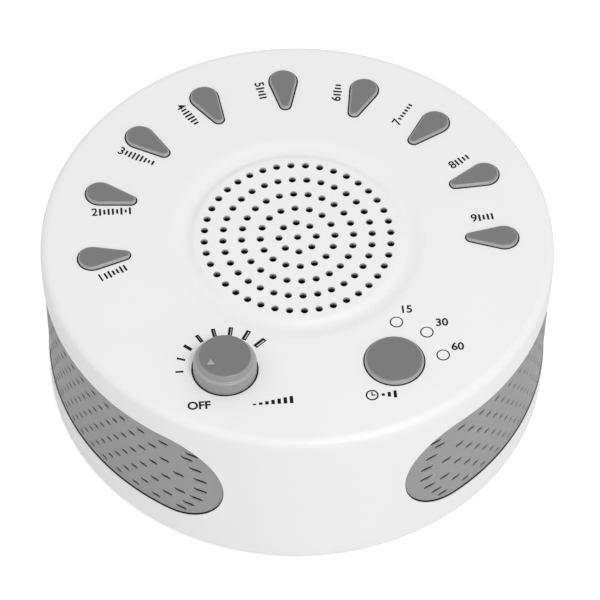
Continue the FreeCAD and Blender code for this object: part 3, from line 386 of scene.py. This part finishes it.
node_finishes = {
    "top_housing": white_shell,
    "bottom_cover": white_cover,
    "battery_door": white_cover,
    "grip_left": grip_rubber,
    "grip_right": grip_rubber,
    "timer_button": grey_controls,
    "volume_knob": grey_knob,
    "timer_lamp_15": lamp_lens,
    "timer_lamp_30": lamp_lens,
    "timer_lamp_60": lamp_lens,
    "timer_leds": diode_resin,
    "timer_plunger": black_plastic,
    "timer_switch": black_plastic,
    "key_switches": black_plastic,
    "control_board": board_green,
    "main_board": board_green,
    "main_board_chips": black_plastic,
    "main_board_capacitors": capacitor_sleeve,
    "volume_pot": bright_steel,
    "volume_pot_shaft": bright_steel,
    "board_screws": bright_steel,
    "speaker_screws": bright_steel,
    "housing_screws": bright_steel,
    "speaker_basket": basket_paint,
    "speaker_top_plate": bright_steel,
    "speaker_yoke": bright_steel,
    "speaker_magnet": ferrite,
    "speaker_gasket": foam_black,
    "speaker_surround": foam_black,
    "speaker_spider": spider_weave,
    "speaker_cone": cone_paper,
    "speaker_dust_cap": cone_paper,
    "voice_coil": copper_winding,
    "grille_cloth": cloth_black,
    "ribbon_cable": ribbon_grey,
    "speaker_wires": wire_red,
    "battery_wires": wire_red,
    "dc_jack": black_plastic,
    "battery_cells": cell_jacket,
    "battery_springs": bright_steel,
    "battery_contacts": bright_steel,
    "rubber_feet": foot_rubber,
}
for number in range(1, 10):
    node_finishes["sound_key_" + str(number)] = grey_controls
    node_finishes["key_plunger_" + str(number)] = black_plastic


# Even shading of the carried-over shapes


def make_skin_group(limit_degrees):
    """Merge loose corners, and shade round where neighbouring faces meet at a small angle."""
    group = bpy.data.node_groups.new("even_skin", "GeometryNodeTree")
    socket(group, "Geometry", "INPUT", "NodeSocketGeometry")
    socket(group, "Merge Distance", "INPUT", "NodeSocketFloat", 0.002 * MM)
    socket(group, "Geometry", "OUTPUT", "NodeSocketGeometry")
    enter = group.nodes.new("NodeGroupInput")
    leave = group.nodes.new("NodeGroupOutput")
    merge = group.nodes.new("GeometryNodeMergeByDistance")
    group.links.new(enter.outputs["Geometry"], merge.inputs["Geometry"])
    group.links.new(enter.outputs["Merge Distance"], merge.inputs["Distance"])
    angle = group.nodes.new("GeometryNodeInputMeshEdgeAngle")
    small = group.nodes.new("FunctionNodeCompare")
    small.operation = "LESS_THAN"
    group.links.new(angle.outputs["Unsigned Angle"], small.inputs["A"])
    small.inputs["B"].default_value = math.radians(limit_degrees)
    faces = group.nodes.new("GeometryNodeSetShadeSmooth")
    faces.domain = "FACE"
    group.links.new(merge.outputs["Geometry"], faces.inputs["Geometry"])
    edges = group.nodes.new("GeometryNodeSetShadeSmooth")
    edges.domain = "EDGE"
    group.links.new(faces.outputs["Geometry"], edges.inputs["Geometry"])
    group.links.new(small.outputs["Result"], edges.inputs["Shade Smooth"])
    group.links.new(edges.outputs["Geometry"], leave.inputs["Geometry"])
    return group


skin_group = make_skin_group(28.0)


def even_skin(node):
    """Give a carried-over shape smooth shading on its round faces."""
    skin = node.modifiers.new("even skin", "NODES")
    skin.node_group = skin_group
    weight = node.modifiers.new("flat faces stay flat", "WEIGHTED_NORMAL")
    weight.keep_sharp = True
    weight.mode = "FACE_AREA"


for name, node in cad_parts.items():
    node.data.materials.clear()
    node.data.materials.append(node_finishes[name])
    even_skin(node)


# Making pieces

# The height of a capital letter, as a share of the font's size
cap_share = 0.69


def new_piece(name, mesh, material, body):
    """Add a finished mesh as a piece that rides on a body."""
    piece = bpy.data.objects.new(name, mesh)
    mesh.materials.clear()
    mesh.materials.append(material)
    scene.collection.objects.link(piece)
    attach(piece, body)


def mesh_of(work, name):
    """Turn a bmesh into a mesh with outward faces."""
    bmesh.ops.remove_doubles(work, verts=work.verts, dist=1e-7)
    bmesh.ops.recalc_face_normals(work, faces=work.faces)
    mesh = bpy.data.meshes.new(name)
    work.to_mesh(mesh)
    work.free()
    return mesh


def add_prism(work, outline, low, high):
    """Add a closed upright prism over a flat outline of X and Y pairs."""
    bottom = [work.verts.new((x, y, low)) for x, y in outline]
    upper = [work.verts.new((x, y, high)) for x, y in outline]
    work.faces.new(list(reversed(bottom)))
    work.faces.new(upper)
    count = len(outline)
    for index in range(count):
        after = (index + 1) % count
        work.faces.new((bottom[index], bottom[after], upper[after], upper[index]))


def placed(outline, x, y, turn):
    """Turn an outline by an angle in degrees and move it, from millimetres to metres."""
    c = math.cos(math.radians(turn))
    s = math.sin(math.radians(turn))
    return [((x + a * c - b * s) * MM, (y + a * s + b * c) * MM) for a, b in outline]


def bar(x_low, x_high, y_low, y_high):
    """Give the outline of a rectangle."""
    return [(x_low, y_low), (x_high, y_low), (x_high, y_high), (x_low, y_high)]


def add_ring(work, x, y, inner, outer, low, high, steps=48):
    """Add a closed flat ring about a point, all in metres."""
    rows = []
    for radius, z in ((inner, low), (outer, low), (outer, high), (inner, high)):
        row = []
        for step in range(steps):
            turn = 2 * math.pi * step / steps
            spot = (x + radius * math.cos(turn), y + radius * math.sin(turn), z)
            row.append(work.verts.new(spot))
        rows.append(row)
    for a, b in zip(rows, rows[1:] + rows[:1]):
        for step in range(steps):
            after = (step + 1) % steps
            work.faces.new((a[step], a[after], b[after], b[step]))


def text_mesh(words, cap_mm, x, y, turn, weight=0.025):
    """Make printed characters as a thin mesh, centred on a place on the top.

    A greater weight makes bolder strokes, as a share of the height of the characters.
    """
    curve = bpy.data.curves.new("print", "FONT")
    curve.body = words
    curve.align_x = "CENTER"
    curve.align_y = "CENTER"
    curve.size = cap_mm * MM / cap_share
    curve.extrude = ink_rise
    curve.offset = weight * cap_mm * MM
    holder = bpy.data.objects.new("print", curve)
    scene.collection.objects.link(holder)
    bpy.context.view_layer.update()
    depsgraph = bpy.context.evaluated_depsgraph_get()
    mesh = bpy.data.meshes.new_from_object(holder.evaluated_get(depsgraph))
    bpy.data.objects.remove(holder)
    turned = Matrix.Rotation(math.radians(turn), 4, "Z")
    mesh.transform(Matrix.Translation((x * MM, y * MM, top_z)) @ turned)
    return mesh


def printed_piece(name, work, texts, material):
    """Join drawn marks and characters into one printed piece on the housing."""
    for mesh in texts:
        work.from_mesh(mesh)
    new_piece(name, mesh_of(work, name), material, "housing")


# Printed marks: places and sizes are in millimetres on the top, turns in degrees

ink_low = top_z - ink_rise
ink_high = top_z + ink_rise
label_y = -58.9
number_cap = 2.7
number_room = 2.6
bar_width = 0.62
bar_pitch = 1.25
bar_least = 0.55
bar_swing = 0.75
ring_inner = 1.6 * MM
ring_outer = 1.95 * MM
minute_cap = 2.55
minute_weight = 0.035
minute_places = {"15": (29.2, -28.85), "30": (39.0, -34.25), "60": (42.7, -43.25)}

# One row per sound key: X, Y, turn, and how many bars follow its number
label_places = (
    (-54.4, -9.9, 25.0, 6),
    (-53.6, 13.1, 0.0, 8),
    (-45.3, 33.6, -30.0, 8),
    (-29.2, 49.0, -57.0, 6),
    (-6.9, 57.0, -80.0, 4),
    (15.9, 54.8, 80.0, 4),
    (34.9, 45.0, 55.0, 6),
    (49.8, 25.6, 32.0, 4),
    (54.5, 3.8, 5.0, 4),
)


def make_key_labels():
    """Print a number and a short row of level bars beside each sound key."""
    work = bmesh.new()
    texts = []
    for index, (x, y, turn, bars) in enumerate(label_places):
        c = math.cos(math.radians(turn))
        s = math.sin(math.radians(turn))
        back = (number_room + bars * bar_pitch) / 2
        near = number_room / 2 - back
        texts.append(text_mesh(str(index + 1), number_cap, x + near * c, y + near * s, turn))
        for step in range(bars):
            level = bar_least + bar_swing * abs(math.sin(0.9 * (index + 1) * (step + 1)))
            along = number_room - back + bar_pitch * step
            outline = bar(along, along + bar_width, -level, level)
            add_prism(work, placed(outline, x, y, turn), ink_low, ink_high)
    printed_piece("key_labels", work, texts, black_ink)


knob_low, knob_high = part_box("volume_knob")
knob_x = (knob_low.x + knob_high.x) / 2 / MM
knob_y = (knob_low.y + knob_high.y) / 2 / MM


def make_scale_group():
    """Geometry nodes: bars on an arc round a centre, each wider and longer than the last."""
    group = bpy.data.node_groups.new("volume_scale_bars", "GeometryNodeTree")
    socket(group, "Geometry", "INPUT", "NodeSocketGeometry")
    sizes = {"Count": 8, "Inner Radius": 11.8 * MM, "Start Angle": 180.0, "Step Angle": -20.0,
             "Width Start": 0.4 * MM, "Width Step": 0.14 * MM, "Length Start": 2.3 * MM,
             "Length Step": 0.23 * MM, "Side Shift": 0.0, "End Trim": 0.0}
    for label, value in sizes.items():
        kind = "NodeSocketInt" if label == "Count" else "NodeSocketFloat"
        socket(group, label, "INPUT", kind, value)
    socket(group, "Material", "INPUT", "NodeSocketMaterial")
    socket(group, "Geometry", "OUTPUT", "NodeSocketGeometry")
    enter = group.nodes.new("NodeGroupInput").outputs
    leave = group.nodes.new("NodeGroupOutput")
    links = group.links
    points = group.nodes.new("GeometryNodeMeshLine")
    links.new(enter["Count"], points.inputs["Count"])
    points.inputs["Offset"].default_value = (0, 0, 0)
    index = group.nodes.new("GeometryNodeInputIndex").outputs[0]

    def grown(start, step):
        return add_math(group, "ADD", enter[start], add_math(group, "MULTIPLY", enter[step], index))

    angle = add_math(group, "RADIANS", grown("Start Angle", "Step Angle"), 0.0)
    length = add_math(group, "SUBTRACT", grown("Length Start", "Length Step"), enter["End Trim"])
    width = grown("Width Start", "Width Step")
    middle = add_math(group, "ADD", enter["Inner Radius"],
                      add_math(group, "MULTIPLY", grown("Length Start", "Length Step"), 0.5))
    shift = add_math(group, "MULTIPLY", enter["Side Shift"], grown("Width Start", "Width Step"))
    c = add_math(group, "COSINE", angle, 0.0)
    s = add_math(group, "SINE", angle, 0.0)
    x = add_math(group, "SUBTRACT", add_math(group, "MULTIPLY", middle, c),
                 add_math(group, "MULTIPLY", shift, s))
    y = add_math(group, "ADD", add_math(group, "MULTIPLY", middle, s),
                 add_math(group, "MULTIPLY", shift, c))
    place = group.nodes.new("ShaderNodeCombineXYZ")
    links.new(x, place.inputs["X"])
    links.new(y, place.inputs["Y"])
    seat = group.nodes.new("GeometryNodeSetPosition")
    links.new(points.outputs["Mesh"], seat.inputs["Geometry"])
    links.new(place.outputs[0], seat.inputs["Position"])
    block = group.nodes.new("GeometryNodeMeshCube")
    block.inputs["Size"].default_value = (1, 1, 2 * ink_rise)
    spread = group.nodes.new("GeometryNodeInstanceOnPoints")
    links.new(seat.outputs["Geometry"], spread.inputs["Points"])
    links.new(block.outputs["Mesh"], spread.inputs["Instance"])
    turn = group.nodes.new("ShaderNodeCombineXYZ")
    links.new(angle, turn.inputs["Z"])
    links.new(turn.outputs[0], spread.inputs["Rotation"])
    size = group.nodes.new("ShaderNodeCombineXYZ")
    links.new(length, size.inputs["X"])
    links.new(width, size.inputs["Y"])
    size.inputs["Z"].default_value = 1.0
    links.new(size.outputs[0], spread.inputs["Scale"])
    real = group.nodes.new("GeometryNodeRealizeInstances")
    links.new(spread.outputs["Instances"], real.inputs["Geometry"])
    paint = group.nodes.new("GeometryNodeSetMaterial")
    links.new(real.outputs["Geometry"], paint.inputs["Geometry"])
    links.new(enter["Material"], paint.inputs["Material"])
    links.new(paint.outputs["Geometry"], leave.inputs["Geometry"])
    return group


def grown_mesh(name, group, values):
    """Run a geometry node tree with given inputs and give its result as a plain mesh."""
    holder = bpy.data.objects.new(name, bpy.data.meshes.new(name))
    scene.collection.objects.link(holder)
    grower = holder.modifiers.new("grow", "NODES")
    grower.node_group = group
    for item in group.interface.items_tree:
        if item.item_type == "SOCKET" and item.in_out == "INPUT" and item.name in values:
            grower[item.identifier] = values[item.name]
    bpy.context.view_layer.update()
    depsgraph = bpy.context.evaluated_depsgraph_get()
    mesh = bpy.data.meshes.new_from_object(holder.evaluated_get(depsgraph))
    bpy.data.objects.remove(holder)
    return mesh


def make_volume_scale():
    """Print two thin and six broad bars round the volume knob, five with a pale streak."""
    group = make_scale_group()
    place = Matrix.Translation((knob_x * MM, knob_y * MM, top_z))
    thin = {"Material": black_ink, "Count": 2, "Width Start": 0.62 * MM, "Width Step": 0.06 * MM}
    broad = {"Material": black_ink, "Count": 6, "Start Angle": 140.0, "Inner Radius": 11.8 * MM,
             "Width Start": 1.05 * MM, "Width Step": 0.08 * MM, "Length Start": 2.76 * MM}
    work = bmesh.new()
    for values in (thin, broad):
        work.from_mesh(grown_mesh("volume_scale", group, values))
    bars = mesh_of(work, "volume_scale")
    bars.transform(place)
    new_piece("volume_scale", bars, black_ink, "housing")
    streak = dict(broad, **{"Material": pale_ink, "Count": 5, "Start Angle": 120.0,
                            "Length Start": 2.99 * MM, "Width Start": 0.06 * MM,
                            "Width Step": 0.05 * MM, "End Trim": 1.0 * MM, "Side Shift": -0.9})
    streaks = grown_mesh("volume_scale_streaks", group, streak)
    streaks.transform(Matrix.Translation((0, 0, ink_rise / 2)) @ place)
    new_piece("volume_scale_streaks", streaks, pale_ink, "housing")


def make_volume_marks():
    """Print the OFF mark and a symbol of rising levels under the knob."""
    work = bmesh.new()
    symbol_x = -11.0
    foot = -1.3
    for step in range(7):
        along = -6.0 + 1.75 * step
        height = 0.5 + 0.34 * step
        outline = bar(along, along + 1.0, foot, foot + height)
        add_prism(work, placed(outline, symbol_x, label_y, 0), ink_low, ink_high)
    texts = [text_mesh("OFF", 2.6, -32.2, -59.4, 0, 0.042)]
    printed_piece("volume_marks", work, texts, black_ink)


def make_timer_marks():
    """Print the minutes beside the lamps, and a clock and three bars under the timer button."""
    work = bmesh.new()
    clock_x = 16.9
    half = 0.2
    add_ring(work, clock_x * MM, label_y * MM, 1.4 * MM, 1.85 * MM, ink_low, ink_high)
    marks = [bar(-half, half, -half, 1.15), bar(half, 0.95, -half, half)]
    for step in range(3):
        along = 2.7 + 1.7 * step
        level = 0.45 + 0.4 * step
        marks.append(bar(along, along + 0.9, -level, level))
    for mark in marks:
        add_prism(work, placed(mark, clock_x, label_y, 0), ink_low, ink_high)
    texts = []
    for words, (x, y) in minute_places.items():
        texts.append(text_mesh(words, minute_cap, x, y, 0, minute_weight))
    printed_piece("timer_marks", work, texts, black_ink)


def make_lamp_rings():
    """Print the thin dark ring round each timer lamp."""
    work = bmesh.new()
    for name in minute_places:
        low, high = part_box("timer_lamp_" + name)
        x = (low.x + high.x) / 2
        y = (low.y + high.y) / 2
        add_ring(work, x, y, ring_inner, ring_outer, ink_low, ink_high)
    printed_piece("lamp_rings", work, [], black_ink)


make_key_labels()
make_volume_scale()
make_volume_marks()
make_timer_marks()
make_lamp_rings()


# Floor, backdrop, light and camera


def make_floor():
    """Lay a white floor that shows white to the camera but keeps the soft shadow."""
    mesh = bpy.data.meshes.new("floor")
    reach = 3.0
    low = -0.05 * MM
    camera_glow = 0.45
    corners = [(x, y, low) for x, y in bar(-reach, reach, -reach, reach)]
    mesh.from_pydata(corners, [], [(0, 1, 2, 3)])
    floor = bpy.data.objects.new("floor", mesh)
    scene.collection.objects.link(floor)
    material = bpy.data.materials.new("floor_white")
    material.use_nodes = True
    tree = material.node_tree
    shader = tree.nodes["Principled BSDF"]
    shader.inputs["Base Color"].default_value = (0.9, 0.9, 0.9, 1)
    shader.inputs["Roughness"].default_value = 0.9
    shader.inputs["Specular IOR Level"].default_value = 0.1
    clear = tree.nodes.new("ShaderNodeBsdfTransparent")
    side = tree.nodes.new("ShaderNodeNewGeometry")
    mixer = tree.nodes.new("ShaderNodeMixShader")
    tree.links.new(side.outputs["Backfacing"], mixer.inputs["Fac"])
    tree.links.new(shader.outputs[0], mixer.inputs[1])
    tree.links.new(clear.outputs[0], mixer.inputs[2])
    glow = tree.nodes.new("ShaderNodeEmission")
    glow.inputs["Color"].default_value = (1, 1, 1, 1)
    ray = tree.nodes.new("ShaderNodeLightPath")
    seen = add_math(tree, "SUBTRACT", ray.outputs["Is Camera Ray"], side.outputs["Backfacing"])
    lift = add_math(tree, "MULTIPLY", add_math(tree, "MAXIMUM", seen, 0.0), camera_glow)
    tree.links.new(lift, glow.inputs["Strength"])
    total = tree.nodes.new("ShaderNodeAddShader")
    tree.links.new(mixer.outputs[0], total.inputs[0])
    tree.links.new(glow.outputs[0], total.inputs[1])
    tree.links.new(total.outputs[0], tree.nodes["Material Output"].inputs["Surface"])
    mesh.materials.append(material)


def make_world():
    """Light evenly from all round, and show white to the camera and in reflections."""
    world = bpy.data.worlds.new("studio")
    scene.world = world
    world.use_nodes = True
    tree = world.node_tree
    back = tree.nodes["Background"]
    back.inputs["Color"].default_value = (1, 1, 1, 1)
    ray = tree.nodes.new("ShaderNodeLightPath")
    shown = add_math(tree, "MAXIMUM", ray.outputs["Is Camera Ray"], ray.outputs["Is Glossy Ray"])
    shown = add_math(tree, "MAXIMUM", shown, ray.outputs["Is Transmission Ray"])
    ambient = 0.75
    strength = add_math(tree, "ADD", ambient, add_math(tree, "MULTIPLY", shown, 1 - ambient))
    tree.links.new(strength, back.inputs["Strength"])


def add_softbox(name, place, size, watts):
    """Add a square lamp that points at the machine."""
    lamp = bpy.data.lights.new(name, "AREA")
    lamp.size = size
    lamp.energy = watts
    box = bpy.data.objects.new(name, lamp)
    scene.collection.objects.link(box)
    box.location = place
    box.rotation_euler = (Vector((0, 0, top_z)) - Vector(place)).to_track_quat("-Z", "Y").to_euler()


def make_camera():
    """Stand the camera where the photograph was taken, from a fit to the grille and the drum."""
    elevation = math.radians(50.924)
    azimuth = math.radians(-4.657)
    roll = math.radians(0.661)
    pan_x = math.radians(0.0324)
    pan_y = math.radians(-0.8483)
    distance = 1.2399
    focal_pixels = 4255.64
    picture_pixels = 600
    level = math.cos(elevation)
    back = Vector((math.sin(azimuth) * level, -math.cos(azimuth) * level, math.sin(elevation)))
    right = Vector((math.cos(azimuth), math.sin(azimuth), 0))
    up = back.cross(right)
    right_rolled = math.cos(roll) * right + math.sin(roll) * up
    up_rolled = math.cos(roll) * up - math.sin(roll) * right
    ahead = -back * math.cos(pan_x) + right_rolled * math.sin(pan_x)
    forward = (ahead * math.cos(pan_y) + up_rolled * math.sin(pan_y)).normalized()
    camera_right = forward.cross(up_rolled).normalized()
    camera_up = camera_right.cross(forward)
    camera = bpy.data.cameras.new("camera")
    camera.sensor_width = 36.0
    camera.lens = camera.sensor_width * focal_pixels / picture_pixels
    camera.clip_start = 0.01
    holder = bpy.data.objects.new("camera", camera)
    scene.collection.objects.link(holder)
    turn = Matrix((camera_right, camera_up, -forward)).transposed().to_4x4()
    holder.matrix_world = Matrix.Translation(Vector((0, 0, top_z)) + back * distance) @ turn
    scene.camera = holder


make_floor()
make_world()
add_softbox("key_light", (0.34, -0.78, 1.23), 0.6, 7.1)
make_camera()
scene.view_settings.view_transform = "Standard"
